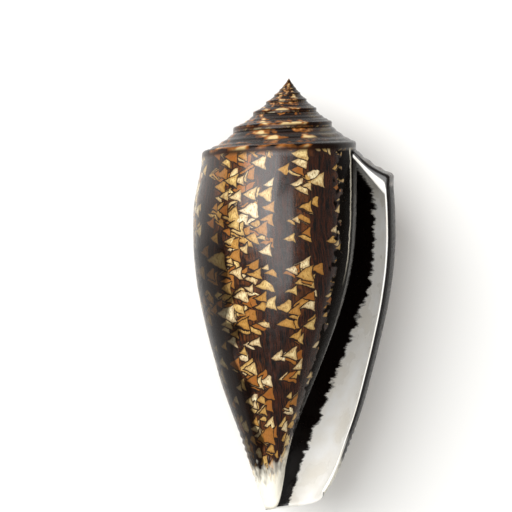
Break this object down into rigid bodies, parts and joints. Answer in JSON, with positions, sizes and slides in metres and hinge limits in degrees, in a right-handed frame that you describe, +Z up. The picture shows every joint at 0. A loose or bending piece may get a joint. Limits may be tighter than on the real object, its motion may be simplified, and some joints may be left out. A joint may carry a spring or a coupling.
{
  "type": "cone shell",
  "caption": "Dextral cone seashell lying on its side: stepped conical spire, tall tapering body whorl and a long open aperture slot.",
  "frame": {"origin": "centre of the bounding box's bottom face, on the surface that the shell rests on", "axes": "+Y from the base towards the apex of the spire, +Z up, +X towards the side that the outer lip is on"},
  "size_m": [0.0442, 0.095, 0.0397],
  "materials": {
    "glossy_shell": "gloss"
  },
  "bodies": {
    "root": {"cone_shell": "glossy_shell"}
  },
  "joints": []
}
